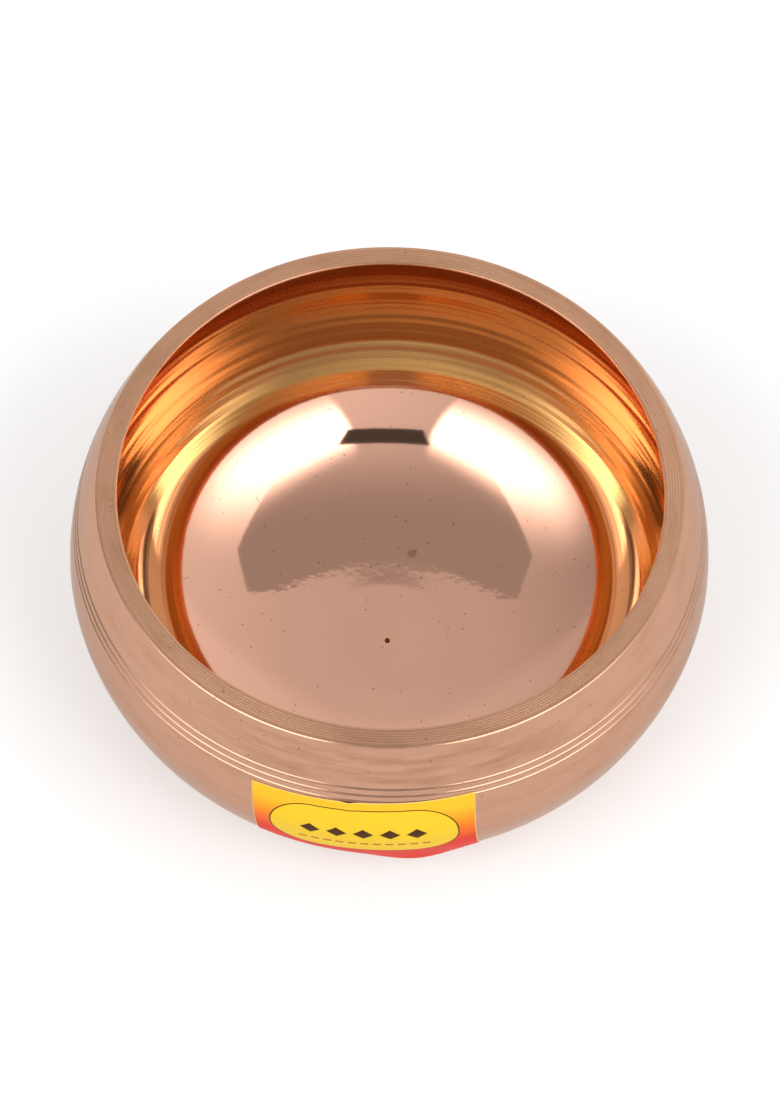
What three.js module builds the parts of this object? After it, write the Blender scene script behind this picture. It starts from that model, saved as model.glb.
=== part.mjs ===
// A turned bronze bowl with a flat lip, a drawn-in mouth and a full belly, and the paper
// label that is pasted on its front. Millimetres, +Z up. The origin is on the bowl's axis, in the
// plane that it stands on, and the label faces -Y.
import * as THREE from 'three';

// Driving dimensions of the bowl. Depths are measured down from the lip's flat face.
const height = 63;
const bellyDiameter = 130;
const bellyDepth = 24.2;
const mouthInset = 5.8; // from the belly in to the lip's outer edge
const lipWidth = 4.1;
const lipOuterBevel = 0.35;
const lipInnerBevel = 0.45;
const bellyWall = 3.2;
const insideBellyDepth = 18;
const floorThickness = 3.8; // at the centre, over the recess under the bowl

// The lower half bends in as (radius / belly)^spread + (drop / full drop)^fall = 1.
const outsideSpread = 4.8;
const outsideFall = 1.47;
const insideSpread = 3.35;
const insideFall = 1.93;

// The foot is a low turned ring with a shallow recess inside it.
const footDiameter = 68;
const footRingWidth = 5;
const footLift = 1.2; // the bowl's round bottom stays this far off the table
const footRecess = 0.9;
const footBevel = 0.5;

// Three fine grooves run round the shoulder.
const grooveCount = 3;
const firstGrooveDepth = 10.4;
const groovePitch = 1.85;
const grooveWidth = 0.7;
const grooveCut = 0.35;

// The lathe's centre left a small pit in the middle of the floor.
const pitDiameter = 1.2;
const pitDepth = 0.5;

// The label. Its height runs down along the bowl's surface.
const labelWidth = 45.5;
const labelHeight = 33;
const labelThickness = 0.2;
const labelClearance = 0.3; // between the paper's back and the metal
const labelTopDepth = 14.35;
const labelTurn = THREE.MathUtils.degToRad(-3.3); // round the axis from -Y, towards +X
const labelTilt = THREE.MathUtils.degToRad(2.4); // the label was pasted a little askew

// How finely the round surfaces are cut into faces.
const turns = 72;
const shoulderSteps = 5;
const outsideSteps = 12;
const insideShoulderSteps = 8;
const insideSteps = 16;
const labelColumns = 16;
const labelRows = 12;
const curveSteps = 40;

const bellyRadius = bellyDiameter / 2;
const lipOuterRadius = bellyRadius - mouthInset;
const lipInnerRadius = lipOuterRadius - lipWidth;
const insideBellyRadius = bellyRadius - bellyWall;
const footRadius = footDiameter / 2;
const floorHeight = footRecess + floorThickness;

// The radius at a depth on a shoulder: a circular arc that starts at the lip's edge and is
// upright where it meets the belly.
function shoulderRadius(depth, widestRadius, widestDepth, startRadius, startDepth) {
  const rise = widestDepth - startDepth;
  const inset = widestRadius - startRadius;
  const arcRadius = (rise * rise + inset * inset) / (2 * inset);
  const above = widestDepth - depth;
  return widestRadius - arcRadius + Math.sqrt(arcRadius * arcRadius - above * above);
}

// A point on a lower half, at an angle from 0 on the belly to a quarter turn on the axis.
function lowerPoint(angle, widestRadius, widestHeight, lowestHeight, spread, fall) {
  const radius = widestRadius * Math.cos(angle) ** (2 / spread);
  const drop = (widestHeight - lowestHeight) * Math.sin(angle) ** (2 / fall);
  return new THREE.Vector2(radius, widestHeight - drop);
}

// The angle at which a lower half has drawn in to a radius.
function lowerAngle(radius, widestRadius, spread) {
  return Math.acos((radius / widestRadius) ** (spread / 2));
}

// The outer surface without its grooves, from the foot up to the lip's bevel.
function outsideLowerPoint(angle) {
  return lowerPoint(angle, bellyRadius, height - bellyDepth, footLift, outsideSpread, outsideFall);
}

function outsideShoulderPoint(depth) {
  const radius = shoulderRadius(depth, bellyRadius, bellyDepth, lipOuterRadius, 0);
  return new THREE.Vector2(radius, height - depth);
}

// The foot ring and the recess, from the axis out to where the round bottom begins.
function footOutline() {
  return [
    new THREE.Vector2(0, footRecess),
    new THREE.Vector2(footRadius - footRingWidth - footRecess, footRecess),
    new THREE.Vector2(footRadius - footRingWidth, 0),
    new THREE.Vector2(footRadius - footBevel, 0),
    new THREE.Vector2(footRadius, footBevel),
  ];
}

// One groove: a V cut straight into the shoulder, listed from its lower edge up.
function grooveOutline(depth) {
  const floor = outsideShoulderPoint(depth);
  floor.x -= grooveCut;
  return [outsideShoulderPoint(depth + grooveWidth / 2), floor, outsideShoulderPoint(depth - grooveWidth / 2)];
}

function outsideOutline() {
  const points = [];
  const footAngle = lowerAngle(footRadius, bellyRadius, outsideSpread);
  for (let step = 0; step <= outsideSteps; step += 1) {
    points.push(outsideLowerPoint(footAngle * (1 - step / outsideSteps)));
  }
  const lastGrooveDepth = firstGrooveDepth + groovePitch * (grooveCount - 1);
  const lowEdge = lastGrooveDepth + grooveWidth / 2;
  for (let step = 1; step < shoulderSteps; step += 1) {
    points.push(outsideShoulderPoint(bellyDepth + ((lowEdge - bellyDepth) * step) / shoulderSteps));
  }
  for (let groove = grooveCount - 1; groove >= 0; groove -= 1) {
    points.push(...grooveOutline(firstGrooveDepth + groovePitch * groove));
  }
  const highEdge = firstGrooveDepth - grooveWidth / 2;
  for (let step = 1; step < shoulderSteps; step += 1) {
    points.push(outsideShoulderPoint(highEdge + ((lipOuterBevel - highEdge) * step) / shoulderSteps));
  }
  points.push(outsideShoulderPoint(lipOuterBevel));
  return points;
}

// The flat lip face between its two bevels.
function lipOutline() {
  return [
    new THREE.Vector2(lipOuterRadius - lipOuterBevel, height),
    new THREE.Vector2(lipInnerRadius + lipInnerBevel, height),
  ];
}

function insideOutline() {
  const points = [];
  for (let step = 0; step < insideShoulderSteps; step += 1) {
    const depth = lipInnerBevel + ((insideBellyDepth - lipInnerBevel) * step) / insideShoulderSteps;
    const radius = shoulderRadius(depth, insideBellyRadius, insideBellyDepth, lipInnerRadius, lipInnerBevel);
    points.push(new THREE.Vector2(radius, height - depth));
  }
  const pitAngle = lowerAngle(pitDiameter / 2, insideBellyRadius, insideSpread);
  const widestHeight = height - insideBellyDepth;
  for (let step = 0; step <= insideSteps; step += 1) {
    const angle = (pitAngle * step) / insideSteps;
    points.push(lowerPoint(angle, insideBellyRadius, widestHeight, floorHeight, insideSpread, insideFall));
  }
  points.push(new THREE.Vector2(0, floorHeight - pitDepth));
  return points;
}

function makeBowl() {
  const outline = [...footOutline(), ...outsideOutline(), ...lipOutline(), ...insideOutline()];
  const bronze = new THREE.MeshStandardMaterial({ color: 0xc2947e, roughness: 0.18, metalness: 1 });
  const bowl = new THREE.Mesh(new THREE.LatheGeometry(outline, turns), bronze);
  bowl.name = 'bowl';
  bowl.rotation.x = Math.PI / 2;
  return bowl;
}

// The outer surface as one curve, from the lip down to the foot, for what is pasted on it.
function outsideCurve() {
  const points = [];
  for (let step = 0; step < curveSteps; step += 1) {
    points.push(outsideShoulderPoint((bellyDepth * step) / curveSteps));
  }
  const footAngle = lowerAngle(footRadius, bellyRadius, outsideSpread);
  for (let step = 0; step <= curveSteps; step += 1) {
    points.push(outsideLowerPoint((footAngle * step) / curveSteps));
  }
  const curve = new THREE.SplineCurve(points);
  curve.arcLengthDivisions = curveSteps * 10;
  return curve;
}

// How far along the outer surface a depth on the shoulder lies from the lip.
function lengthDownTo(depth) {
  let length = 0;
  for (let step = 0; step < curveSteps; step += 1) {
    const from = outsideShoulderPoint((depth * step) / curveSteps);
    length += from.distanceTo(outsideShoulderPoint((depth * (step + 1)) / curveSteps));
  }
  return length;
}

// A point of the label, by its place across and down the paper and its distance off the metal.
function labelPoint(across, down, offMetal, curve, curveLength, topLength) {
  const fromMiddle = down - labelHeight / 2;
  const turnedAcross = across * Math.cos(labelTilt) + fromMiddle * Math.sin(labelTilt);
  const turnedDown = labelHeight / 2 + fromMiddle * Math.cos(labelTilt) - across * Math.sin(labelTilt);
  const share = (topLength + turnedDown) / curveLength;
  const place = curve.getPointAt(share);
  const tangent = curve.getTangentAt(share);
  const angle = labelTurn + turnedAcross / place.x;
  const radius = place.x - tangent.y * offMetal;
  const level = place.y + tangent.x * offMetal;
  return new THREE.Vector3(radius * Math.sin(angle), -radius * Math.cos(angle), level);
}

function makeLabel() {
  const curve = outsideCurve();
  const curveLength = curve.getLength();
  const topLength = lengthDownTo(labelTopDepth);
  const positions = [];
  const faces = [];
  const across = labelColumns + 1;
  const layer = across * (labelRows + 1);
  for (const offMetal of [labelClearance, labelClearance + labelThickness]) {
    for (let row = 0; row <= labelRows; row += 1) {
      for (let column = 0; column <= labelColumns; column += 1) {
        const x = labelWidth * (column / labelColumns - 0.5);
        const y = (labelHeight * row) / labelRows;
        positions.push(...labelPoint(x, y, offMetal, curve, curveLength, topLength));
      }
    }
  }
  const quad = (a, b, c, d) => faces.push(a, b, c, a, c, d);
  const back = (row, column) => row * across + column;
  const front = (row, column) => layer + back(row, column);
  for (let row = 0; row < labelRows; row += 1) {
    for (let column = 0; column < labelColumns; column += 1) {
      quad(front(row, column), front(row + 1, column), front(row + 1, column + 1), front(row, column + 1));
      quad(back(row, column), back(row, column + 1), back(row + 1, column + 1), back(row + 1, column));
    }
    quad(back(row, 0), back(row + 1, 0), front(row + 1, 0), front(row, 0));
    const last = labelColumns;
    quad(front(row, last), front(row + 1, last), back(row + 1, last), back(row, last));
  }
  for (let column = 0; column < labelColumns; column += 1) {
    quad(back(0, column), front(0, column), front(0, column + 1), back(0, column + 1));
    const last = labelRows;
    quad(front(last, column), back(last, column), back(last, column + 1), front(last, column + 1));
  }
  const geometry = new THREE.BufferGeometry();
  geometry.setAttribute('position', new THREE.Float32BufferAttribute(positions, 3));
  geometry.setIndex(faces);
  geometry.computeVertexNormals();
  const paper = new THREE.MeshStandardMaterial({ color: 0xf2a23c, roughness: 0.45, metalness: 0 });
  const label = new THREE.Mesh(geometry, paper);
  label.name = 'label';
  return label;
}

const part = new THREE.Group();
part.add(makeBowl());
part.add(makeLabel());

export default part;
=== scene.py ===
"""A turned bell-metal bowl and the printed label on its front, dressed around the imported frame.

Lengths inside the classes are real millimetres. MM turns them to Blender's metres.
"""

import logging
import math
from dataclasses import dataclass
from enum import Enum
from typing import ClassVar

import bpy
from mathutils import Matrix, Vector


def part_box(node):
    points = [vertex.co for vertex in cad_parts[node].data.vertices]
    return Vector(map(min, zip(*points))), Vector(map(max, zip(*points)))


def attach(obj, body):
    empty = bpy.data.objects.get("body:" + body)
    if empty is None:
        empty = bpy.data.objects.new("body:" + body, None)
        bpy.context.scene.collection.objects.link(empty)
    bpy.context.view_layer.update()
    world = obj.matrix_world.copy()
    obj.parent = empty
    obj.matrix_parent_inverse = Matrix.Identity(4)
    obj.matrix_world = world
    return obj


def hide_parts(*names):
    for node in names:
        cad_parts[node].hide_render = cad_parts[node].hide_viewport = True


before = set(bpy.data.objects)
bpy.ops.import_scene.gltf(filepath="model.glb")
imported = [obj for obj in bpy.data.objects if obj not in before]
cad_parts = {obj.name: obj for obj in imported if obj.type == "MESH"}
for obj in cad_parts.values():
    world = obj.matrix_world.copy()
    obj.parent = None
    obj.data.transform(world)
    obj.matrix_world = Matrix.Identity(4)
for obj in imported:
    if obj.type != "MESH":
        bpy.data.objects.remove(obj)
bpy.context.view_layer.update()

log = logging.getLogger("bowl")
MM = 0.001
Point = tuple[float, float]
Colour = tuple[float, float, float, float]
Tree = bpy.types.NodeTree
Socket = bpy.types.NodeSocket

# The kinds of node that are used most.
MATH = "ShaderNodeMath"
VECTOR_MATH = "ShaderNodeVectorMath"
MAP_RANGE = "ShaderNodeMapRange"

# A mix node's places for its two colours, and for the colour that it gives. A socket's id_data is
# the tree that it is in.
COLOUR_UNDER, COLOUR_OVER, COLOUR_MIXED = 6, 7, 2


def add_node(
    tree: Tree, kind: str, inputs: dict | None = None, output: int | str = 0, **settings: object
) -> Socket | None:
    """Adds one node to a tree, sets it, and fills or links its inputs.

    Args:
        tree: The tree that takes the node.
        kind: The node's Blender type name.
        inputs: For each input's name or place, a value or the output that feeds it.
        output: The name or place of the output to hand back.
        **settings: The node's own settings, such as its operation.

    Returns:
        The chosen output, ready to feed another node, or None for a node that has none.
    """
    node = tree.nodes.new(kind)
    for name, value in settings.items():
        setattr(node, name, value)
    for name, value in (inputs or {}).items():
        if isinstance(value, Socket):
            tree.links.new(value, node.inputs[name])
        else:
            node.inputs[name].default_value = value
    return node.outputs[output] if node.outputs else None


def folded(operation: str, values: list[Socket]) -> Socket:
    """Joins several values of one tree into one, two at a time.

    Args:
        operation: What joins two of them, such as MULTIPLY or MAXIMUM.
        values: The values, in the order in which they are joined.

    Returns:
        The one value.
    """
    total = values[0]
    for value in values[1:]:
        total = add_node(total.id_data, MATH, {0: total, 1: value}, operation=operation)
    return total


def crossed(*crossings: tuple[Socket, Point]) -> Socket:
    """Makes a value that goes smoothly from 0 to 1 as every given value crosses its span.

    Args:
        *crossings: Each a value, and its span's start and end. A span may run down.

    Returns:
        The product of the crossings.
    """
    steps = []
    for value, (start, end) in crossings:
        inputs = {"Value": value, "From Min": start, "From Max": end}
        steps.append(add_node(value.id_data, MAP_RANGE, inputs, interpolation_type="SMOOTHSTEP"))
    return folded("MULTIPLY", steps)


def layered(ground: object, *layers: tuple[Socket, object]) -> Socket:
    """Lays colours or plain values over a ground, each by its own factor.

    Args:
        ground: A hex colour, a value or an output to start from.
        *layers: Each a factor, and the hex colour, value or output that it lays on.

    Returns:
        The colour or value that results.
    """
    for factor, over in layers:
        if isinstance(over, str):
            under = linear(ground) if isinstance(ground, str) else ground
            inputs = {"Factor": factor, COLOUR_UNDER: under, COLOUR_OVER: linear(over)}
            ground = add_node(factor.id_data, "ShaderNodeMix", inputs, COLOUR_MIXED, data_type="RGBA")
        else:
            ground = add_node(factor.id_data, "ShaderNodeMix", {"Factor": factor, "A": ground, "B": over})
    return ground


def distance(value: Socket, middle: float = 0.0) -> Socket:
    """Measures how far a value is from a middle, to either side."""
    offset = add_node(value.id_data, MATH, {0: value, 1: middle}, operation="SUBTRACT")
    return add_node(value.id_data, MATH, {0: offset}, operation="ABSOLUTE")


def linear(hex_colour: str) -> Colour:
    """Turns an sRGB hex colour into the linear colour that a shader takes.

    Args:
        hex_colour: The colour as six hex digits after a hash sign.

    Returns:
        Red, green, blue and a full alpha.
    """
    parts = [int(hex_colour[place : place + 2], 16) / 255 for place in (1, 3, 5)]
    red, green, blue = (
        part / 12.92 if part <= 0.04045 else ((part + 0.055) / 1.055) ** 2.4 for part in parts
    )
    return red, green, blue, 1.0


def new_material(name: str) -> tuple[bpy.types.Material, Tree]:
    """Makes an empty node material.

    Args:
        name: The material's name.

    Returns:
        The material and its emptied node tree.
    """
    material = bpy.data.materials.new(name)
    material.use_nodes = True
    material.node_tree.nodes.clear()
    return material, material.node_tree


def add_object(name: str, mesh: bpy.types.Mesh) -> bpy.types.Object:
    """Links a mesh into the scene as an object that sits at the origin.

    Args:
        name: The object's name.
        mesh: Its mesh, with its place in the vertices.

    Returns:
        The new object.
    """
    made = bpy.data.objects.new(name, mesh)
    bpy.context.scene.collection.objects.link(made)
    return made


def keep_result(piece: bpy.types.Object, modifier: bpy.types.Modifier) -> bpy.types.Object:
    """Gives a piece the mesh that its modifier makes, and takes the modifier off.

    Args:
        piece: The piece.
        modifier: Its only modifier, already set.

    Returns:
        The same piece, now a plain mesh.
    """
    bpy.context.view_layer.update()
    made = bpy.data.meshes.new_from_object(piece.evaluated_get(bpy.context.evaluated_depsgraph_get()))
    piece.modifiers.remove(modifier)
    piece.data = made
    return piece


def spaced(start: float, end: float, steps: int) -> list[float]:
    """Lists evenly spaced values, with both ends."""
    return [start + (end - start) * (step / steps) for step in range(steps + 1)]


def pushed_out(point: Point, before: Point, after: Point, off: float) -> Point:
    """Moves a point outwards, square to the line that runs down from before it to after it."""
    span = math.dist(before, after)
    return point[0] + off * (before[1] - after[1]) / span, point[1] + off * (after[0] - before[0]) / span


class Stretch(Enum):
    """The stretches of the bowl's outline, in the order in which they follow each other."""

    FOOT = "foot"
    OUTSIDE = "outside"
    LIP = "lip"
    SATIN_WALL = "satin wall"
    POLISHED_FLOOR = "polished floor"


@dataclass
class Outline:
    """A line in the bowl's section, with the length along it at each point and stretch."""

    points: list[Point]
    lengths: list[float]
    starts: dict[Stretch, float]
    same_point: ClassVar[float] = 1e-6

    @classmethod
    def through(cls, stretches: dict[Stretch, list[Point]]) -> "Outline":
        """Joins stretches into one line.

        Args:
            stretches: The points of each stretch. One that repeats the point before is left out.

        Returns:
            The line.
        """
        line = cls([], [], {})
        for stretch, points in stretches.items():
            for point in points:
                step = math.dist(line.points[-1], point) if line.points else 0.0
                if line.points and step < cls.same_point:
                    continue
                line.lengths.append(line.lengths[-1] + step if line.lengths else 0.0)
                line.points.append(point)
                line.starts.setdefault(stretch, line.lengths[-1])
        return line


@dataclass(frozen=True)
class WallSide:
    """One side of the bowl's wall: an arc from the lip to the belly, and a rounded curve under it.

    The arc stands upright where it meets the belly. Spread is how long the curve stays wide, and
    fall how soon it turns level.
    """

    lip_height: float
    start: Point  # radius and depth under the lip
    belly: Point  # the same
    lowest: float  # the height at which the curve would meet the axis
    spread: float
    fall: float

    def shoulder(self, depth: float) -> Point:
        """Finds a point on the arc.

        Args:
            depth: Its depth under the lip.

        Returns:
            Its radius and height.
        """
        rise = self.belly[1] - self.start[1]
        inset = self.belly[0] - self.start[0]
        arc_radius = (rise * rise + inset * inset) / (2 * inset)
        above = self.belly[1] - depth
        reach = math.sqrt(arc_radius * arc_radius - above * above)
        return self.belly[0] - arc_radius + reach, self.lip_height - depth

    def lower(self, angle: float) -> Point:
        """Finds a point on the curve.

        Args:
            angle: From 0 on the belly to a quarter turn on the axis.

        Returns:
            Its radius and height.
        """
        belly_height = self.lip_height - self.belly[1]
        drop = (belly_height - self.lowest) * math.sin(angle) ** (2 / self.fall)
        return self.belly[0] * math.cos(angle) ** (2 / self.spread), belly_height - drop

    def angle_at(self, radius: float) -> float:
        """Finds the angle at which the curve has drawn in to a radius."""
        return math.acos((radius / self.belly[0]) ** (self.spread / 2))


@dataclass
class BowlShape:
    """The sizes of the turned bowl. Depths are measured down from the lip's flat face."""

    height: float
    belly_radius: float
    belly_depth: float = 24.2
    mouth_inset: float = 5.8
    lip_width: float = 4.1
    lip_outer_bevel: float = 0.35
    lip_inner_bevel: float = 0.45
    belly_wall: float = 3.2
    inside_belly_depth: float = 18.0
    floor_thickness: float = 3.8
    outside_spread: float = 4.8
    outside_fall: float = 1.47
    inside_spread: float = 3.35
    inside_fall: float = 1.93
    foot_radius: float = 34.0
    foot_ring_width: float = 5.0
    foot_lift: float = 1.2
    foot_recess: float = 0.9
    foot_bevel: float = 0.5
    recess_steps: int = 6
    crease_share: float = 0.05  # how near a crease the points that keep it crisp lie
    ring_crease: float = 0.05
    groove_count: int = 3
    first_groove_depth: float = 10.4
    groove_pitch: float = 1.85
    groove_width: float = 0.7
    groove_cut: float = 0.35
    groove_power: int = 4  # the higher it is, the flatter the groove's floor
    lip_fall: float = 0.28
    lip_corner_inset: float = 0.1
    lip_line_count: int = 5
    lip_line_width: float = 0.32
    lip_line_cut: float = 0.045
    polish_depth: float = 43.0
    wave_lengths: tuple[float, ...] = (7.1, 3.9, 2.3)
    wave_height: float = 0.04
    wave_shift: float = 2.0  # sets the waves off from each other where they start
    dish_radius: float = 14.0
    dish_wave: float = 18.0
    dish_slope: float = 0.026
    pit_radius: float = 0.6
    pit_depth: float = 0.5
    pit_shares: tuple[float, ...] = (0.7, 0.35, 0.0)

    @property
    def lip_outer_radius(self) -> float:
        """The radius of the lip's outer edge."""
        return self.belly_radius - self.mouth_inset

    @property
    def lip_inner_radius(self) -> float:
        """The radius of the mouth."""
        return self.lip_outer_radius - self.lip_width

    @property
    def floor_height(self) -> float:
        """The height of the floor's middle over the table."""
        return self.foot_recess + self.floor_thickness

    @property
    def outside(self) -> WallSide:
        """The outer side of the wall, without its grooves."""
        start, belly = (self.lip_outer_radius, 0.0), (self.belly_radius, self.belly_depth)
        return WallSide(self.height, start, belly, self.foot_lift, self.outside_spread, self.outside_fall)

    @property
    def inside(self) -> WallSide:
        """The inner side of the wall.

        Returns:
            The side, without its waves.
        """
        start = (self.lip_inner_radius, self.lip_inner_bevel)
        belly = (self.belly_radius - self.belly_wall, self.inside_belly_depth)
        return WallSide(self.height, start, belly, self.floor_height, self.inside_spread, self.inside_fall)

    def foot_points(self) -> list[Point]:
        """Lists the recess under the bowl and the ring that it stands on, from the middle outwards.

        Returns:
            The foot's points.
        """
        ring_inner = self.foot_radius - self.foot_ring_width
        recess = spaced(0.0, ring_inner - self.foot_recess, self.recess_steps)
        points = [(radius, self.foot_recess) for radius in recess]
        for share in (1 - self.crease_share, self.crease_share):
            points.append((ring_inner - self.foot_recess * share, self.foot_recess * share))
        ring = (ring_inner, ring_inner + self.ring_crease, self.foot_radius - self.foot_bevel)
        points += [(radius, 0.0) for radius in ring]
        return points + [(self.foot_radius, self.foot_bevel)]

    def groove_points(self, depth: float, steps: int = 8) -> list[Point]:
        """Lists one groove, a rounded cut into the shoulder, from its lower edge up.

        Args:
            depth: The depth of the groove's middle under the lip.
            steps: How many steps cross the groove.

        Returns:
            The groove's points.
        """
        points = []
        for across in spaced(1.0, -1.0, steps):
            radius, level = self.outside.shoulder(depth + across * self.groove_width / 2)
            points.append((radius - self.groove_cut * (1 - across**self.groove_power), level))
        return points

    def outside_points(self, lower_steps: int = 56, shoulder_steps: int = 16) -> list[Point]:
        """Lists the outer surface from the foot up to the lip's bevel.

        Args:
            lower_steps: How many steps climb from the foot to the belly.
            shoulder_steps: How many steps each plain stretch of the shoulder takes.

        Returns:
            The outer surface's points.
        """
        last_groove = self.first_groove_depth + self.groove_pitch * (self.groove_count - 1)
        low_edge = last_groove + self.groove_width / 2
        high_edge = self.first_groove_depth - self.groove_width / 2
        low_stretch = spaced(self.belly_depth, low_edge, shoulder_steps)[1:-1]
        high_stretch = spaced(high_edge, self.lip_fall + self.lip_outer_bevel, shoulder_steps)[1:]
        foot_angle = self.outside.angle_at(self.foot_radius)
        points = [self.outside.lower(angle) for angle in spaced(foot_angle, 0.0, lower_steps)]
        points += [self.outside.shoulder(depth) for depth in low_stretch]
        for groove in reversed(range(self.groove_count)):
            points += self.groove_points(self.first_groove_depth + self.groove_pitch * groove)
        return points + [self.outside.shoulder(depth) for depth in high_stretch]

    @staticmethod
    def rounded(start: Point, corner: Point, end: Point, steps: int = 4) -> list[Point]:
        """Rounds a corner between two points.

        Args:
            start: Where the round starts.
            corner: The corner that it takes off.
            end: Where the round ends.
            steps: How many steps the round takes.

        Returns:
            The points between the two ends.
        """
        points = []
        for share in spaced(0.0, 1.0, steps)[1:-1]:
            pulls = ((start, (1 - share) ** 2), (corner, 2 * share * (1 - share)), (end, share**2))
            radius, level = (sum(point[axis] * pull for point, pull in pulls) for axis in (0, 1))
            points.append((radius, level))
        return points

    def lip_points(self) -> list[Point]:
        """Lists the lip, which falls a little outwards, from the outside in, with its turned lines.

        Returns:
            The lip's points.
        """
        outer = self.lip_outer_radius - self.lip_outer_bevel
        inner = self.lip_inner_radius + self.lip_inner_bevel
        half = self.lip_line_width / 2
        stops = [(outer, 0.0)]
        for middle in spaced(outer, inner, self.lip_line_count + 1)[1:-1]:
            stops += [(middle + half, 0.0), (middle, self.lip_line_cut), (middle - half, 0.0)]
        stops.append((inner, 0.0))
        slope = self.lip_fall / (outer - inner)
        face = [(radius, self.height - cut - slope * (radius - inner)) for radius, cut in stops]
        shoulder_end = self.outside.shoulder(self.lip_fall + self.lip_outer_bevel)
        wall_start = (self.lip_inner_radius, self.height - self.lip_inner_bevel)
        outer_corner = (shoulder_end[0] - self.lip_corner_inset, face[0][1])
        inner_corner = (self.lip_inner_radius, self.height)
        outer_edge = self.rounded(shoulder_end, outer_corner, face[0])
        return outer_edge + face + self.rounded(face[-1], inner_corner, wall_start)

    def waved(self, points: list[Point]) -> list[Point]:
        """Moves the wall's points in and out by the slight waves that turning by hand leaves.

        Args:
            points: The wall's points, from the lip down.

        Returns:
            The waved points. The waves fade out at both ends of the wall.
        """
        moved = []
        total = sum(math.dist(before, after) for before, after in zip(points, points[1:]))
        run = 0.0
        for place, point in enumerate(points):
            before = points[max(place - 1, 0)]
            after = points[min(place + 1, len(points) - 1)]
            fade = math.sqrt(math.sin(math.pi * run / total)) if 0 < run < total else 0.0
            wave = 0.0
            for length in self.wave_lengths:
                wave += length * math.sin(math.tau * run / length + self.wave_shift * length)
            off = self.wave_height * fade * wave / self.wave_lengths[0]
            moved.append(pushed_out(point, before, after, off))
            run += math.dist(point, after)
        return moved

    def dished(self, points: list[Point]) -> list[Point]:
        """Gives the floor the slight ring-shaped wave that the polishing wheel left.

        Args:
            points: The floor's points.

        Returns:
            The waved points.
        """
        turns = math.tau / self.dish_wave
        moved = []
        for radius, level in points:
            away = radius - self.dish_radius
            fade = math.exp(-abs(away) * 2 / self.dish_wave)
            moved.append((radius, level + self.dish_slope / turns * math.sin(turns * away) * fade))
        return moved

    def inside_points(self, shoulder_steps: int = 70, lower_steps: int = 190) -> list[Point]:
        """Lists the inner surface from the lip's bevel down to the edge of the centre pit.

        Args:
            shoulder_steps: How many steps lead down to the widest place.
            lower_steps: How many steps lead on to the pit.

        Returns:
            The inner surface's points.
        """
        depths = spaced(self.lip_inner_bevel, self.inside_belly_depth, shoulder_steps)[:-1]
        pit_angle = self.inside.angle_at(self.pit_radius)
        points = [self.inside.shoulder(depth) for depth in depths]
        return points + [self.inside.lower(angle) for angle in spaced(0.0, pit_angle, lower_steps)]

    def pit_points(self) -> list[Point]:
        """Lists the small cone that the lathe's centre left in the floor."""
        top = self.floor_height
        return [(self.pit_radius * share, top - self.pit_depth * (1 - share)) for share in self.pit_shares]

    def outline(self) -> Outline:
        """Joins the stretches, from the middle of the underside round to the middle of the floor.

        Returns:
            The bowl's outline.
        """
        inside = self.inside_points()
        polish_level = self.height - self.polish_depth
        wall = [point for point in inside if point[1] > polish_level]
        floor = inside[len(wall) :] + self.pit_points()
        stretches = {
            Stretch.FOOT: self.foot_points(),
            Stretch.OUTSIDE: self.outside_points(),
            Stretch.LIP: self.lip_points(),
            Stretch.SATIN_WALL: self.waved(wall),
            Stretch.POLISHED_FLOOR: self.dished(floor),
        }
        return Outline.through(stretches)


@dataclass(frozen=True)
class Spot:
    """A small dark spot on the metal, such as a casting pit or a stain."""

    place: tuple[float, float, float]
    radius: float
    strength: float
    core: ClassVar[float] = 0.4  # the share of its radius that is dark all over


@dataclass(frozen=True)
class Streaks:
    """A noise that is drawn out round the bowl, and the part of it that shows.

    Round the bowl it follows a circle whose radius is the number of noise steps in around. Along
    the outline a noise step takes one pitch.
    """

    around: float
    pitch: float
    detail: float
    roughness: float
    shown: Point = (0.0, 1.0)
    strength: float = 1.0


@dataclass(frozen=True)
class MetalTree:
    """The metal's node tree, with what it reads at each spot: its place and length in millimetres."""

    tree: Tree
    place: Socket
    length: Socket

    def flat(self) -> Socket:
        """Gives the spot's place without its height."""
        inputs = {0: self.place, 1: (1.0, 1.0, 0.0)}
        return add_node(self.tree, VECTOR_MATH, inputs, operation="MULTIPLY")

    def past(self, start: float, span: Point) -> Socket:
        """Goes from 0 to 1 along the outline, over a span that is measured from the start."""
        return crossed((self.length, (start + span[0], start + span[1])))

    def noise(self, streaks: Streaks) -> Socket:
        """Makes a noise that changes slowly round the bowl and faster along its outline.

        Args:
            streaks: The noise's sizes.

        Returns:
            The noise, from 0 to 1.
        """
        tree = self.tree
        unit = add_node(tree, VECTOR_MATH, {0: self.flat()}, operation="NORMALIZE")
        wide = add_node(tree, VECTOR_MATH, {0: unit, "Scale": streaks.around}, operation="SCALE")
        along = add_node(tree, MATH, {0: self.length, 1: 1 / streaks.pitch}, operation="MULTIPLY")
        level = add_node(tree, "ShaderNodeCombineXYZ", {"Z": along})
        spot = add_node(tree, VECTOR_MATH, {0: wide, 1: level}, operation="ADD")
        inputs = {"Vector": spot, "Scale": 1.0, "Detail": streaks.detail, "Roughness": streaks.roughness}
        return add_node(tree, "ShaderNodeTexNoise", inputs)

    def patches(self, streaks: Streaks, where: Socket) -> Socket:
        """Makes the streaks' shown part, as patches.

        Args:
            streaks: The noise's sizes.
            where: 1 where the patches are.

        Returns:
            The patches' strength.
        """
        start, end = streaks.shown
        inputs = {"Value": self.noise(streaks), "From Min": start, "From Max": end}
        amount = add_node(self.tree, MAP_RANGE, inputs | {"To Max": streaks.strength})
        return add_node(self.tree, MATH, {0: amount, 1: where}, operation="MULTIPLY")


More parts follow.
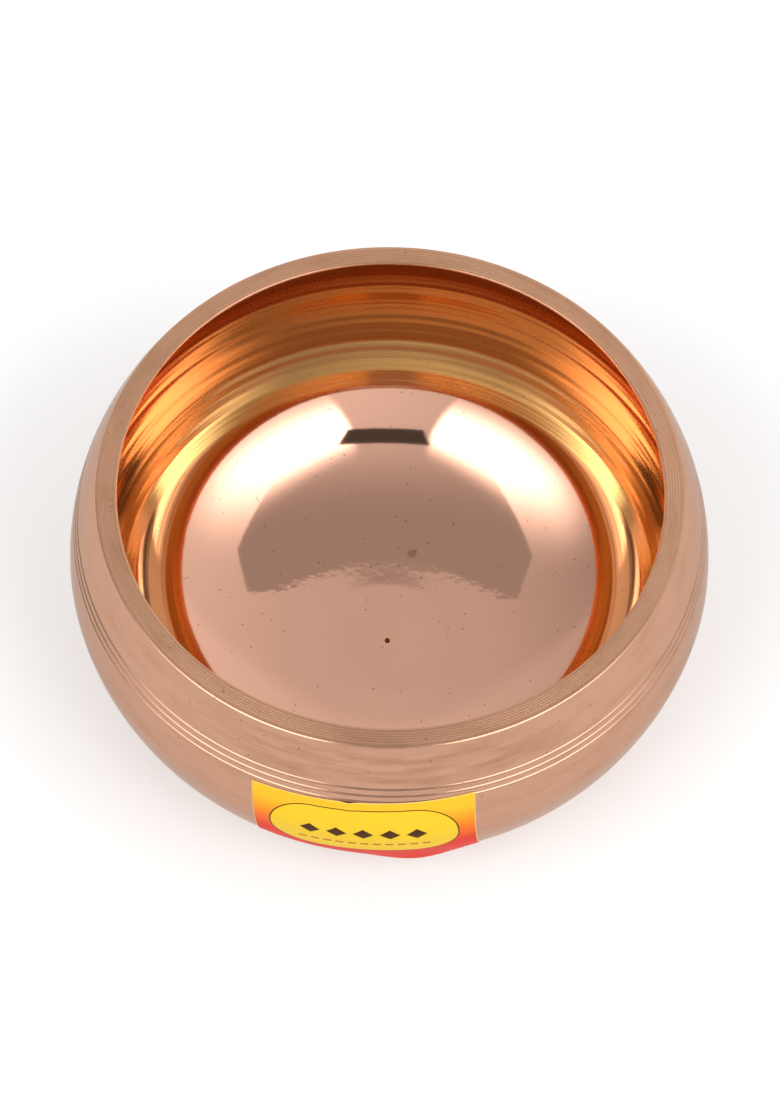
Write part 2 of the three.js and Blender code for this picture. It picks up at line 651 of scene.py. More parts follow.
@dataclass(frozen=True)
class BellMetal:
    """Bell metal, a copper and tin bronze, cast and then turned and polished on a lathe.

    It gives the eye a warm pink mirror in the polished floor, deeper gold on the satin wall where
    light meets the metal again and again, and fine rings wherever the tool's marks are left.
    A span is measured along the outline from where its stretch starts.
    """

    name: str = "turned_bell_metal"
    outer: str = "#C2957C"
    lip: str = "#DCA786"
    under_lip: str = "#D6A65A"
    wall: str = "#E6C79B"
    polished: str = "#E7B197"
    edge_tint: str = "#E8E0DA"
    tarnish: str = "#96683C"
    pit: str = "#4A2E1E"
    outside_roughness: float = 0.18
    lip_roughness: float = 0.26
    under_lip_roughness: float = 0.28
    wall_roughness: float = 0.09
    floor_roughness: float = 0.045
    uneven_roughness: Point = (0.8, 1.2)
    edge_span: Point = (0.0, 0.2)
    wall_shine_span: Point = (1.5, 10.5)
    wall_colour_span: Point = (11.0, 21.0)
    floor_span: Point = (-1.0, 1.0)
    grain: float = 0.85
    grain_turn: float = 0.25
    rings: Streaks = Streaks(around=1.0, pitch=0.6, detail=3.0, roughness=0.6)
    ring_height: float = 0.02
    ring_shares: tuple[float, ...] = (0.07, 0.2, 1.0, 0.005)  # outside, lip, wall and floor
    last_bounce: float = 3.5
    last_light: float = 0.38
    dent_pitch: float = 1.6
    dent_height: float = 0.018
    dent_ring: Point = (12.0, 34.0)
    dent_rest: float = 0.12  # the share of the dents' height that is left away from their ring
    clouds: Streaks = Streaks(5.0, 10 / 3, 5.0, 0.6, shown=(0.45, 0.75), strength=0.3)
    smears: Streaks = Streaks(5.0, 5 / 3, 3.0, 0.5, shown=(0.4, 0.72), strength=0.55)
    smear_depths: Point = (2.0, 9.6)
    smear_blur: float = 1.0
    smear_front: Point = (-48.0, -58.0)
    smear_span: Point = (0.0, -0.1)
    speck_pitch: float = 3.0
    speck_radius: float = 0.3
    speck_core: float = 0.02
    speck_strength: float = 0.6
    spots: tuple[Spot, ...] = (
        Spot((61.2, -21.8, 40.1), 0.75, 0.9),
        Spot((60.3, -24.3, 39.4), 0.35, 0.8),
        Spot((57.0, -31.1, 36.9), 0.7, 0.9),
        Spot((58.6, -28.2, 37.6), 0.3, 0.8),
        Spot((4.7, 20.9, 5.4), 1.3, 0.35),
        Spot((5.3, 21.4, 5.5), 0.6, 0.5),
        Spot((0.0, 0.0, 4.4), 0.8, 0.95),
    )

    def build(self, shape: BowlShape, outline: Outline) -> bpy.types.Material:
        """Builds the material.

        Args:
            shape: The bowl's sizes.
            outline: The bowl's outline, which says where each finish starts.

        Returns:
            The material.
        """
        material, tree = new_material(self.name)
        length = add_node(tree, "ShaderNodeAttribute", output="Fac", attribute_name=BowlLathe.length_name)
        metres = add_node(tree, "ShaderNodeTexCoord", output="Object")
        place = add_node(tree, VECTOR_MATH, {0: metres, "Scale": 1 / MM}, operation="SCALE")
        metal = MetalTree(tree, place, length)
        lip_start, wall_start = outline.starts[Stretch.LIP], outline.starts[Stretch.SATIN_WALL]
        lip = metal.past(lip_start, self.edge_span)
        inside = metal.past(wall_start, self.edge_span)
        floor = metal.past(outline.starts[Stretch.POLISHED_FLOOR], self.floor_span)
        outside = metal.past(wall_start, self.edge_span[::-1])
        colour = layered(
            self.outer,
            (lip, self.lip),
            (inside, self.under_lip),
            (metal.past(wall_start, self.wall_colour_span), self.wall),
            (floor, self.polished),
            (metal.patches(self.clouds, outside), self.tarnish),
            (metal.patches(self.smears, self.smeared(metal, shape, lip_start)), self.tarnish),
            (self.specks(metal), self.pit),
        )
        roughness = layered(
            self.outside_roughness,
            (lip, self.lip_roughness),
            (inside, self.under_lip_roughness),
            (metal.past(wall_start, self.wall_shine_span), self.wall_roughness),
            (floor, self.floor_roughness),
        )
        rings = metal.noise(self.rings)
        least, most = self.uneven_roughness
        uneven = add_node(tree, MAP_RANGE, {"Value": rings, "To Min": least, "To Max": most})
        inputs = {
            "Base Color": colour,
            "Metallic": 1.0,
            "Roughness": add_node(tree, MATH, {0: roughness, 1: uneven}, operation="MULTIPLY"),
            "Normal": self.relief(metal, rings, (lip, inside, floor)),
            "Specular Tint": linear(self.edge_tint),
            "Anisotropic": self.grain,
            "Anisotropic Rotation": self.grain_turn,
            "Tangent": add_node(tree, "ShaderNodeTangent", direction_type="RADIAL", axis="Z"),
            "Emission Color": colour,
            "Emission Strength": self.closing_light(tree),
        }
        shader = add_node(tree, "ShaderNodeBsdfPrincipled", inputs)
        add_node(tree, "ShaderNodeOutputMaterial", {"Surface": shader})
        return material

    def closing_light(self, tree: Tree) -> Socket:
        """Lets a reflection of a reflection end in a little warm light, not in black.

        A ray that has met the bright metal four times goes no further. The light that it would still
        have gathered in the bowl is stood for by the metal's own colour, at a low strength.

        Args:
            tree: The material's tree.

        Returns:
            The strength, which is 0 for every earlier ray.
        """
        path = add_node(tree, "ShaderNodeLightPath").node.outputs
        inputs = {0: path["Glossy Depth"], 1: self.last_bounce}
        last = add_node(tree, MATH, inputs, operation="GREATER_THAN")
        return add_node(tree, MATH, {0: last, 1: self.last_light}, operation="MULTIPLY")

    def relief(self, metal: MetalTree, rings: Socket, starts: tuple[Socket, ...]) -> Socket:
        """Makes the fine relief: tool rings, deepest on the wall, and the floor's uneven polish.

        Args:
            metal: The metal's tree.
            rings: The tool's rings.
            starts: The values that are 1 from the lip, the wall and the floor on.

        Returns:
            The normal.
        """
        tree = metal.tree
        outside, *later = (share * self.ring_height for share in self.ring_shares)
        depth = layered(outside, *zip(starts, later))
        ring_relief = add_node(tree, MATH, {0: rings, 1: depth}, operation="MULTIPLY")
        inputs = {"Vector": metal.place, "Scale": 1 / self.dent_pitch, "Detail": 1.0}
        dents = add_node(tree, "ShaderNodeTexNoise", inputs)
        radius = add_node(tree, VECTOR_MATH, {0: metal.flat()}, "Value", operation="LENGTH")
        near, far = self.dent_ring
        middle = (near + far) / 2
        ring = crossed((radius, (near, middle)), (radius, (far, middle)))
        inputs = {"Value": ring, "To Min": self.dent_rest * self.dent_height, "To Max": self.dent_height}
        dent_height = add_node(tree, MAP_RANGE, inputs)
        on_floor = add_node(tree, MATH, {0: dent_height, 1: starts[-1]}, operation="MULTIPLY")
        inputs = {0: dents, 1: on_floor, 2: ring_relief}
        total = add_node(tree, MATH, inputs, operation="MULTIPLY_ADD")
        return add_node(tree, "ShaderNodeBump", {"Strength": 1.0, "Distance": MM, "Height": total})

    def smeared(self, metal: MetalTree, shape: BowlShape, lip_start: float) -> Socket:
        """Finds the front of the shoulder, where golden-brown smears lie between lip and grooves.

        Args:
            metal: The metal's tree.
            shape: The bowl's sizes.
            lip_start: The length along the outline at which the lip starts.

        Returns:
            1 there, with soft edges.
        """
        axes = add_node(metal.tree, "ShaderNodeSeparateXYZ", {0: metal.place}).node.outputs
        high, low = (shape.height - depth for depth in self.smear_depths)
        blur = self.smear_blur
        level = crossed((axes["Z"], (low - blur, low + blur)), (axes["Z"], (high + blur, high - blur)))
        front = crossed((axes["Y"], self.smear_front))
        return folded("MULTIPLY", [level, front, metal.past(lip_start, self.smear_span)])

    def specks(self, metal: MetalTree) -> Socket:
        """Makes tiny dark specks all over the metal, and the few larger pits and stains.

        Args:
            metal: The metal's tree.

        Returns:
            Their darkness.
        """
        tree = metal.tree
        cells = add_node(tree, "ShaderNodeTexVoronoi", {"Vector": metal.place, "Scale": 1 / self.speck_pitch})
        inputs = {"Value": cells, "From Min": self.speck_radius / self.speck_pitch}
        inputs |= {"From Max": self.speck_core, "To Max": self.speck_strength}
        darks = [add_node(tree, MAP_RANGE, inputs)]
        for spot in self.spots:
            away = add_node(
                tree, VECTOR_MATH, {0: metal.place, 1: spot.place}, "Value", operation="DISTANCE"
            )
            core = spot.radius * spot.core
            inputs = {"Value": away, "From Min": spot.radius, "From Max": core, "To Max": spot.strength}
            darks.append(add_node(tree, MAP_RANGE, inputs, interpolation_type="SMOOTHSTEP"))
        return folded("MAXIMUM", darks)


@dataclass
class BowlLathe:
    """Turns an outline round the Z axis with a Geometry Nodes tree."""

    segments: int = 224
    weld: float = 1e-6
    sharp_angle: float = math.radians(24)
    length_name: ClassVar[str] = "turned_mm"

    def outline_mesh(self, outline: Outline) -> bpy.types.Mesh:
        """Makes the outline as a chain of edges in the XZ plane.

        Args:
            outline: The outline, in millimetres.

        Returns:
            The mesh, which keeps the length along the outline as an attribute.
        """
        mesh = bpy.data.meshes.new("outline")
        vertices = [(radius * MM, 0.0, level * MM) for radius, level in outline.points]
        edges = [(place, place + 1) for place in range(len(vertices) - 1)]
        mesh.from_pydata(vertices, edges, [])
        lengths = mesh.attributes.new(self.length_name, "FLOAT", "POINT")
        lengths.data.foreach_set("value", outline.lengths)
        return mesh

    def tree(self) -> Tree:
        """Builds the tree: a grid whose rows are the outline's points, bent round the axis and welded.

        Returns:
            The tree, with named inputs for its segments, weld, sharp angle and metal.
        """
        tree = bpy.data.node_groups.new("lathe", "GeometryNodeTree")
        kinds = {
            "Outline": "Geometry",
            "Segments": "Int",
            "Weld": "Float",
            "Sharp Angle": "Float",
            "Metal": "Material",
        }
        for name, kind in kinds.items():
            tree.interface.new_socket(name, in_out="INPUT", socket_type=f"NodeSocket{kind}")
        tree.interface.new_socket("Bowl", in_out="OUTPUT", socket_type="NodeSocketGeometry")
        given = tree.nodes.new("NodeGroupInput").outputs
        edged = self.edged(tree, given, self.bent(tree, given))
        real = add_node(tree, "GeometryNodeRealizeInstances", {"Geometry": edged})
        clad = add_node(tree, "GeometryNodeSetMaterial", {"Geometry": real, "Material": given["Metal"]})
        add_node(tree, "NodeGroupOutput", {"Bowl": clad})
        return tree

    def bent(self, tree: Tree, given: bpy.types.NodeOutputs) -> Socket:
        """Bends the grid round the axis, and stores the length along the outline on it.

        Args:
            tree: The lathe's tree.
            given: The tree's inputs.

        Returns:
            The bent grid.
        """
        rows = add_node(tree, "GeometryNodeAttributeDomainSize", {0: given["Outline"]}, component="MESH")
        columns = add_node(tree, MATH, {0: given["Segments"], 1: 1.0}, operation="ADD")
        grid = add_node(tree, "GeometryNodeMeshGrid", {"Vertices X": rows, "Vertices Y": columns})
        index = add_node(tree, "GeometryNodeInputIndex")
        share = add_node(tree, MATH, {0: index, 1: columns}, operation="DIVIDE")
        row = add_node(tree, MATH, {0: share}, operation="FLOOR")
        column = add_node(tree, MATH, {0: index, 1: columns}, operation="MODULO")
        read = {
            "FLOAT_VECTOR": add_node(tree, "GeometryNodeInputPosition"),
            "FLOAT": add_node(
                tree, "GeometryNodeInputNamedAttribute", {"Name": self.length_name}, data_type="FLOAT"
            ),
        }
        point, length = (
            add_node(
                tree,
                "GeometryNodeSampleIndex",
                {"Geometry": given["Outline"], "Value": value, "Index": row},
                data_type=kind,
                domain="POINT",
            )
            for kind, value in read.items()
        )
        axes = add_node(tree, "ShaderNodeSeparateXYZ", {0: point}).node.outputs
        turn = add_node(tree, MATH, {0: column, 1: given["Segments"]}, operation="DIVIDE")
        angle = add_node(tree, MATH, {0: turn, 1: math.tau}, operation="MULTIPLY")
        place = {"Z": axes["Z"]}
        for axis, operation in (("X", "SINE"), ("Y", "COSINE")):
            ratio = add_node(tree, MATH, {0: angle}, operation=operation)
            place[axis] = add_node(tree, MATH, {0: axes["X"], 1: ratio}, operation="MULTIPLY")
        spot = add_node(tree, "ShaderNodeCombineXYZ", place)
        bent = add_node(tree, "GeometryNodeSetPosition", {"Geometry": grid, "Position": spot})
        return add_node(
            tree,
            "GeometryNodeStoreNamedAttribute",
            {"Geometry": bent, "Name": self.length_name, "Value": length},
            data_type="FLOAT",
            domain="POINT",
        )

    def edged(self, tree: Tree, given: bpy.types.NodeOutputs, bent: Socket) -> Socket:
        """Welds the bent grid's seam and middles, and shades it smooth up to the sharp angle.

        Args:
            tree: The lathe's tree.
            given: The tree's inputs.
            bent: The bent grid.

        Returns:
            The closed bowl.
        """
        welded = add_node(tree, "GeometryNodeMergeByDistance", {"Geometry": bent, "Distance": given["Weld"]})
        smooth = add_node(tree, "GeometryNodeSetShadeSmooth", {"Geometry": welded, "Shade Smooth": True})
        inputs = {"A": add_node(tree, "GeometryNodeInputMeshEdgeAngle"), "B": given["Sharp Angle"]}
        sharp = add_node(tree, "FunctionNodeCompare", inputs, operation="GREATER_THAN")
        inputs = {"Geometry": smooth, "Selection": sharp, "Shade Smooth": False}
        return add_node(tree, "GeometryNodeSetShadeSmooth", inputs, domain="EDGE")

    def turn(self, name: str, outline: Outline, metal: bpy.types.Material) -> bpy.types.Object:
        """Turns the outline into a closed mesh.

        Args:
            name: The piece's name.
            outline: The outline, in millimetres.
            metal: The material.

        Returns:
            The piece, a plain mesh with no modifier left.
        """
        blank = add_object(name, self.outline_mesh(outline))
        modifier = blank.modifiers.new("lathe", "NODES")
        modifier.node_group = self.tree()
        values = {"Segments": self.segments, "Weld": self.weld, "Sharp Angle": self.sharp_angle}
        values["Metal"] = metal
        for item in modifier.node_group.interface.items_tree:
            if item.name in values:
                modifier[item.identifier] = values[item.name]
        return keep_result(blank, modifier)


@dataclass(frozen=True)
class LabelTree:
    """The print's node tree, with what it reads at each spot of the label, in millimetres.

    Across is measured to the right from the middle, and down from the top edge.
    """

    tree: Tree
    across: Socket
    down: Socket


@dataclass(frozen=True)
class LabelPrint:
    """Glossy coated paper with an offset print, on a self-adhesive sheet.

    It gives the eye saturated flat inks that run from yellow to red, under a thin even shine.
    """

    name: str = "printed_label_paper"
    inks: tuple[tuple[float, str], ...] = (  # the share of the way down, and the colour there
        (0.0, "#FAB62E"),
        (0.1, "#FAB62E"),
        (0.33, "#EC7426"),
        (0.56, "#D82C1C"),
    )
    panel: str = "#E6C02E"
    ink: str = "#4A2A12"
    second_ink: str = "#B8621C"
    cut_edge: str = "#F0CC80"
    roughness: float = 0.4
    specular: float = 0.02
    fibre_pitch: float = 0.5
    fibre_height: float = 0.02
    fibre_detail: float = 3.0
    fibre_strength: float = 0.4
    panel_half_width: float = 19.2
    panel_half_height: float = 9.8
    panel_corner: float = 9.2
    panel_down: float = 12.3
    border: float = 0.3
    diamond_pitch: float = 5.4
    diamond_half: float = 2.1
    diamond_count: int = 5
    diamond_down: float = 11.2
    dash_pitch: float = 2.5
    dash_half_width: float = 0.8
    dash_half_height: float = 0.5
    dash_count: int = 11
    dash_down: float = 16.8
    edge_width: float = 0.14

    def build(self, width: float, height: float) -> bpy.types.Material:
        """Builds the material.

        Args:
            width: The label's width in millimetres.
            height: The label's height in millimetres.

        Returns:
            The material.
        """
        material, tree = new_material(self.name)
        share = add_node(tree, "ShaderNodeUVMap", uv_map=PastedLabel.uv_name)
        inputs = {0: share, 1: (width, height, 0.0), 2: (-width / 2, 0.0, 0.0)}
        place = add_node(tree, VECTOR_MATH, inputs, operation="MULTIPLY_ADD")
        axes = add_node(tree, "ShaderNodeSeparateXYZ", {0: place}).node.outputs
        down = add_node(tree, MATH, {0: height, 1: axes["Y"]}, operation="SUBTRACT")
        sheet = LabelTree(tree, axes["X"], down)
        panel = self.panel_edge(sheet)
        diamonds, dashes = self.marks(sheet)
        colour = layered(
            self.ground(sheet, height),
            (self.within((panel, 0.0)), self.panel),
            (self.within((distance(panel), self.border / 2)), self.ink),
            (diamonds, self.ink),
            (dashes, self.second_ink),
            (self.edges(sheet, width, height), self.cut_edge),
        )
        inputs = {"Vector": place, "Scale": 1 / self.fibre_pitch, "Detail": self.fibre_detail}
        fibre = add_node(tree, "ShaderNodeTexNoise", inputs)
        inputs = {"Strength": self.fibre_strength, "Distance": self.fibre_height * MM, "Height": fibre}
        inputs = {
            "Base Color": colour,
            "Roughness": self.roughness,
            "Specular IOR Level": self.specular,
            "Normal": add_node(tree, "ShaderNodeBump", inputs),
        }
        shader = add_node(tree, "ShaderNodeBsdfPrincipled", inputs)
        add_node(tree, "ShaderNodeOutputMaterial", {"Surface": shader})
        return material

    @staticmethod
    def within(*limits: tuple[Socket, float]) -> Socket:
        """Makes 1 where every given value is under its limit.

        Args:
            *limits: Each a value and its limit.

        Returns:
            1 there, and 0 elsewhere.
        """
        under = []
        for value, limit in limits:
            under.append(add_node(value.id_data, MATH, {0: value, 1: limit}, operation="LESS_THAN"))
        return folded("MULTIPLY", under)

    def ground(self, sheet: LabelTree, height: float) -> Socket:
        """Makes the ground's run of inks, from yellow at the top to red at the foot.

        Args:
            sheet: The print's tree.
            height: The label's height.

        Returns:
            The colour.
        """
        share = add_node(sheet.tree, MATH, {0: sheet.down, 1: height}, operation="DIVIDE")
        ramp = add_node(sheet.tree, "ShaderNodeValToRGB", {0: share}).node
        while len(ramp.color_ramp.elements) < len(self.inks):
            ramp.color_ramp.elements.new(0.5)
        for element, (position, hex_colour) in zip(ramp.color_ramp.elements, self.inks):
            element.position = position
            element.color = linear(hex_colour)
        return ramp.outputs[0]

    def panel_edge(self, sheet: LabelTree) -> Socket:
        """Measures the distance to the yellow panel's rounded outline.

        Args:
            sheet: The print's tree.

        Returns:
            The distance, below 0 inside the panel.
        """
        tree = sheet.tree
        centred = add_node(tree, MATH, {0: sheet.down, 1: self.panel_down}, operation="SUBTRACT")
        spot = add_node(tree, "ShaderNodeCombineXYZ", {"X": sheet.across, "Y": centred})
        quarter = add_node(tree, VECTOR_MATH, {0: spot}, operation="ABSOLUTE")
        core = (self.panel_half_width - self.panel_corner, self.panel_half_height - self.panel_corner, 0.0)
        past = add_node(tree, VECTOR_MATH, {0: quarter, 1: core}, operation="SUBTRACT")
        outer = add_node(tree, VECTOR_MATH, {0: past, 1: (0.0, 0.0, 0.0)}, operation="MAXIMUM")
        reach = add_node(tree, VECTOR_MATH, {0: outer}, "Value", operation="LENGTH")
        return add_node(tree, MATH, {0: reach, 1: self.panel_corner}, operation="SUBTRACT")

    @staticmethod
    def aside(sheet: LabelTree, pitch: float) -> Socket:
        """Measures the distance across to the nearest of a row of places that lie a pitch apart."""
        inputs = {0: sheet.across, 1: -pitch / 2, 2: pitch / 2}
        return distance(add_node(sheet.tree, MATH, inputs, operation="WRAP"))

    def marks(self, sheet: LabelTree) -> tuple[Socket, Socket]:
        """Makes the panel's plain ornament: a row of diamonds over a row of short dashes.

        Args:
            sheet: The print's tree.

        Returns:
            1 on the diamonds, and 1 on the dashes.
        """
        reach = distance(sheet.across)
        tall = distance(sheet.down, self.diamond_down)
        both = folded("ADD", [self.aside(sheet, self.diamond_pitch), tall])
        row = self.diamond_pitch * self.diamond_count / 2
        diamonds = self.within((both, self.diamond_half), (reach, row))
        dashes = self.within(
            (self.aside(sheet, self.dash_pitch), self.dash_half_width),
            (distance(sheet.down, self.dash_down), self.dash_half_height),
            (reach, self.dash_pitch * self.dash_count / 2),
        )
        return diamonds, dashes

    def edges(self, sheet: LabelTree, width: float, height: float) -> Socket:
        """Makes 1 along the paper's pale cut edges.

        Args:
            sheet: The print's tree.
            width: The label's width.
            height: The label's height.

        Returns:
            The value.
        """
        inputs = {0: width / 2, 1: distance(sheet.across)}
        from_side = add_node(sheet.tree, MATH, inputs, operation="SUBTRACT")
        from_foot = add_node(sheet.tree, MATH, {0: height, 1: sheet.down}, operation="SUBTRACT")
        nearest = folded("MINIMUM", [from_side, sheet.down, from_foot])
        return self.within((nearest, self.edge_width))


@dataclass
class PastedLabel:
    """The paper label, pasted a little askew on the front, under the grooves.

    Its lower right part bulges off the metal, and its top edge has a small pucker.
    """

    shape: BowlShape
    width: float = 45.5
    height: float = 33.0
    thickness: float = 0.12
    gap: float = 0.03
    top_depth: float = 14.35
    turn: float = math.radians(-3.3)
    tilt: float = math.radians(2.4)
    columns: int = 72
    rows: int = 54
    bulge_height: float = 1.1
    bulge_middle: float = 9.5
    bulge_reach: float = 8.0
    bulge_top: float = 24.0
    pucker_height: float = 0.35
    pucker_middle: float = -2.6
    pucker_reach: float = 1.1
    pucker_foot: float = 7.0
    uv_name: ClassVar[str] = "label_uv"

    def skin(self, steps: int = 200) -> Outline:
        """Follows the outer surface from the lip down to the foot, past its grooves.

        Args:
            steps: How many steps each half takes.

        Returns:
            The line.
        """
        side = self.shape.outside
        foot_angle = side.angle_at(self.shape.foot_radius)
        points = [side.shoulder(depth) for depth in spaced(0.0, self.shape.belly_depth, steps)[:-1]]
        points += [side.lower(angle) for angle in spaced(0.0, foot_angle, steps)]
        return Outline.through({Stretch.OUTSIDE: points})

    def lift(self, across: float, down: float) -> float:
        """Says how far the paper stands off the metal beyond its glue.

        Args:
            across: Millimetres to the right of the label's middle.
            down: Millimetres down from its top edge.

        Returns:
            The extra distance in millimetres.
        """
        foot_share = max(0.0, (down - self.bulge_top) / (self.height - self.bulge_top))
        top_share = max(0.0, 1 - down / self.pucker_foot)
        bulge = math.exp(-(((across - self.bulge_middle) / self.bulge_reach) ** 2)) * foot_share**2
        pucker = math.exp(-(((across - self.pucker_middle) / self.pucker_reach) ** 2)) * top_share**2
        return self.bulge_height * bulge + self.pucker_height * pucker

    def place(self, across: float, down: float, skin: Outline, top: float) -> tuple[float, float, float]:
        """Finds a point of the sheet's back.

        Args:
            across: Millimetres to the right of the label's middle.
            down: Millimetres down from its top edge.
            skin: The outer surface from the lip down.
            top: The length from the lip to the label's top edge.

        Returns:
            The point in metres.
        """
        from_middle = down - self.height / 2
        turned_across = across * math.cos(self.tilt) + from_middle * math.sin(self.tilt)
        turned_down = self.height / 2 + from_middle * math.cos(self.tilt) - across * math.sin(self.tilt)
        wanted = top + turned_down
        after = next(place for place, length in enumerate(skin.lengths) if length >= wanted)
        start, end = skin.points[after - 1], skin.points[after]
        share = (wanted - skin.lengths[after - 1]) / (skin.lengths[after] - skin.lengths[after - 1])
        on_metal = (start[0] + (end[0] - start[0]) * share, start[1] + (end[1] - start[1]) * share)
        angle = self.turn + turned_across / on_metal[0]
        radius, level = pushed_out(on_metal, start, end, self.gap + self.lift(across, down))
        return radius * math.sin(angle) * MM, -radius * math.cos(angle) * MM, level * MM

    def sheet(self, material: bpy.types.Material) -> bpy.types.Mesh:
        """Makes the sheet's back as a grid of quads, with the print's own coordinates.

        Args:
            material: The printed paper.

        Returns:
            The mesh.
        """
        skin = self.skin()
        line = zip(skin.points, skin.lengths)
        top = next(length for (_, level), length in line if self.shape.height - level >= self.top_depth)
        vertices = []
        for down in spaced(0.0, self.height, self.rows):
            for across in spaced(-self.width / 2, self.width / 2, self.columns):
                vertices.append(self.place(across, down, skin, top))
        stride = self.columns + 1
        corners = [row * stride + column for row in range(self.rows) for column in range(self.columns)]
        faces = [(corner, corner + stride, corner + stride + 1, corner + 1) for corner in corners]
        mesh = bpy.data.meshes.new("label_sheet")
        mesh.from_pydata(vertices, [], faces)
        uv = mesh.uv_layers.new(name=self.uv_name)
        for loop in mesh.loops:
            row, column = divmod(loop.vertex_index, stride)
            uv.data[loop.index].uv = (column / self.columns, 1 - row / self.rows)
        mesh.materials.append(material)
        mesh.shade_smooth()
        return mesh

    def build(self, material: bpy.types.Material) -> bpy.types.Object:
        """Builds the label on the bowl's outer surface.

        Args:
            material: The printed paper.

        Returns:
            The label, a thin closed sheet.
        """
        label = add_object("front_label", self.sheet(material))
        paper = label.modifiers.new("paper", "SOLIDIFY")
        paper.thickness = self.thickness * MM
        paper.offset = 1.0
        return keep_result(label, paper)


@dataclass(frozen=True)
class SkyTree:
    """The world's node tree, with what it reads from a direction: its parts X, Y and Z.

    Across and along say how far to the right and to the back it meets a level ceiling.
    """

    tree: Tree
    parts: bpy.types.NodeOutputs
    across: Socket
    along: Socket


@dataclass
class Studio:
    """The pale floor and the soft surroundings, with a large soft box to each side of the camera.

    Directions are parts of a unit vector, X to the right, Y to the back and Z up, or places on a
    level ceiling that is one unit up. A pair that is a span has its start, where the value is 0,
    and its end, where it is 1.
    """

    floor_size: float = 8.0
    floor_colour: str = "#E6E6E6"
    floor_glow: float = 0.18
    floor_drop: float = 0.05
    horizon: float = 0.05
    back_level: float = 0.69
    low_back_level: float = 0.8
    low_back: Point = (0.68, 0.9)
    front_level: float = 0.92
    back_turn: Point = (-0.3, 0.3)
    side_tilt: float = 0.27
    ceiling_level: float = 0.42
    ceiling_middle: float = 0.04
    ceiling_half: Point = (0.59, 0.56)
    ceiling_back: Point = (0.475, 0.455)
    ceiling_corner: Point = (0.8, 0.78)
    corner_slope: float = 0.87
    ceiling_front: Point = (-0.9, 0.2)
    box_level: float = 5.2
    box_inner: Point = (0.48, 0.54)
    box_inner_rise: float = 0.4
    box_line_slope: float = 1.45
    box_line_start: float = -0.85
    box_line_edge: Point = (-0.4, 0.4)
    box_back: Point = (0.55, -0.72)
    box_foot: Point = (0.22, 0.76)
    box_falloff: float = 2.0
    gap_level: float = 0.08
    gap_middle: Point = (0.05, -0.71)
    gap_half: Point = (0.27, 0.13)
    gap_edge: Point = (1.04, 0.92)

    def build(self) -> None:
        """Builds the floor and the world."""
        self.floor()
        self.world()

    def floor(self) -> None:
        """Makes a plain white floor that keeps the bowl's shadow."""
        half = self.floor_size / 2
        mesh = bpy.data.meshes.new("floor")
        corners = ((-half, -half), (half, -half), (half, half), (-half, half))
        mesh.from_pydata([(x, y, -self.floor_drop * MM) for x, y in corners], [], [(0, 1, 2, 3)])
        material, tree = new_material("white_sweep_paper")
        path = add_node(tree, "ShaderNodeLightPath").node.outputs
        rays = [path[f"Is {kind} Ray"] for kind in ("Camera", "Glossy", "Transmission")]
        inputs = {0: folded("MAXIMUM", rays), 1: self.floor_glow}
        glow = add_node(tree, MATH, inputs, operation="MULTIPLY")
        paper = add_node(tree, "ShaderNodeBsdfDiffuse", {"Color": linear(self.floor_colour)})
        light = add_node(tree, "ShaderNodeEmission", {"Strength": glow})
        both = add_node(tree, "ShaderNodeAddShader", {0: paper, 1: light})
        add_node(tree, "ShaderNodeOutputMaterial", {"Surface": both})
        mesh.materials.append(material)
        add_object("floor", mesh)

    def ceiling(self, sky: SkyTree) -> Socket:
        """Makes 1 in the directions of the ceiling, a rectangle whose back corners are cut off.

        Args:
            sky: The world's tree.

        Returns:
            The value, crisp along the ceiling's edges.
        """
        side = distance(sky.across, self.ceiling_middle)
        inputs = {0: sky.along, 1: self.corner_slope, 2: side}
        corner = add_node(sky.tree, MATH, inputs, operation="MULTIPLY_ADD")
        edges = (side, self.ceiling_half), (sky.along, self.ceiling_back), (corner, self.ceiling_corner)
        return crossed(*edges)

    def boxes(self, sky: SkyTree, ceiling: Socket) -> Socket:
        """Makes a value that is highest in the middle of the two soft boxes.

        Args:
            sky: The world's tree.
            ceiling: 1 in the directions of the ceiling.

        Returns:
            The value, which fades out towards the boxes' edges.
        """
        tree = sky.tree
        inputs = {0: distance(sky.across), 1: self.box_line_slope, 2: self.box_line_start}
        line = add_node(tree, MATH, inputs, operation="MULTIPLY_ADD")
        past_line = add_node(tree, MATH, {0: sky.along, 1: line}, operation="SUBTRACT")
        behind = crossed((past_line, self.box_line_edge))
        hidden = add_node(tree, MATH, {0: behind, 1: ceiling}, operation="MULTIPLY")
        shown = add_node(tree, MATH, {0: 1.0, 1: hidden}, operation="SUBTRACT")
        height = sky.parts["Z"]
        inputs = {0: height, 1: self.box_inner_rise, 2: distance(sky.parts["X"])}
        side = add_node(tree, MATH, inputs, operation="MULTIPLY_ADD")
        inside = crossed((sky.along, self.box_back), (side, self.box_inner), (height, self.box_foot))
        box = add_node(tree, MATH, {0: shown, 1: inside}, operation="MULTIPLY")
        return add_node(tree, MATH, {0: box, 1: self.box_falloff}, operation="POWER")

    def gap(self, sky: SkyTree) -> Socket:
        """Makes 1 in the dark gap between the two boxes.

        Args:
            sky: The world's tree.

        Returns:
            The value.
        """
        edges = []
        for value, middle, half in zip((sky.across, sky.along), self.gap_middle, self.gap_half):
            inputs = {0: distance(value, middle), 1: half}
            share = add_node(sky.tree, MATH, inputs, operation="DIVIDE")
            edges.append((share, self.gap_edge))
        return crossed(*edges)

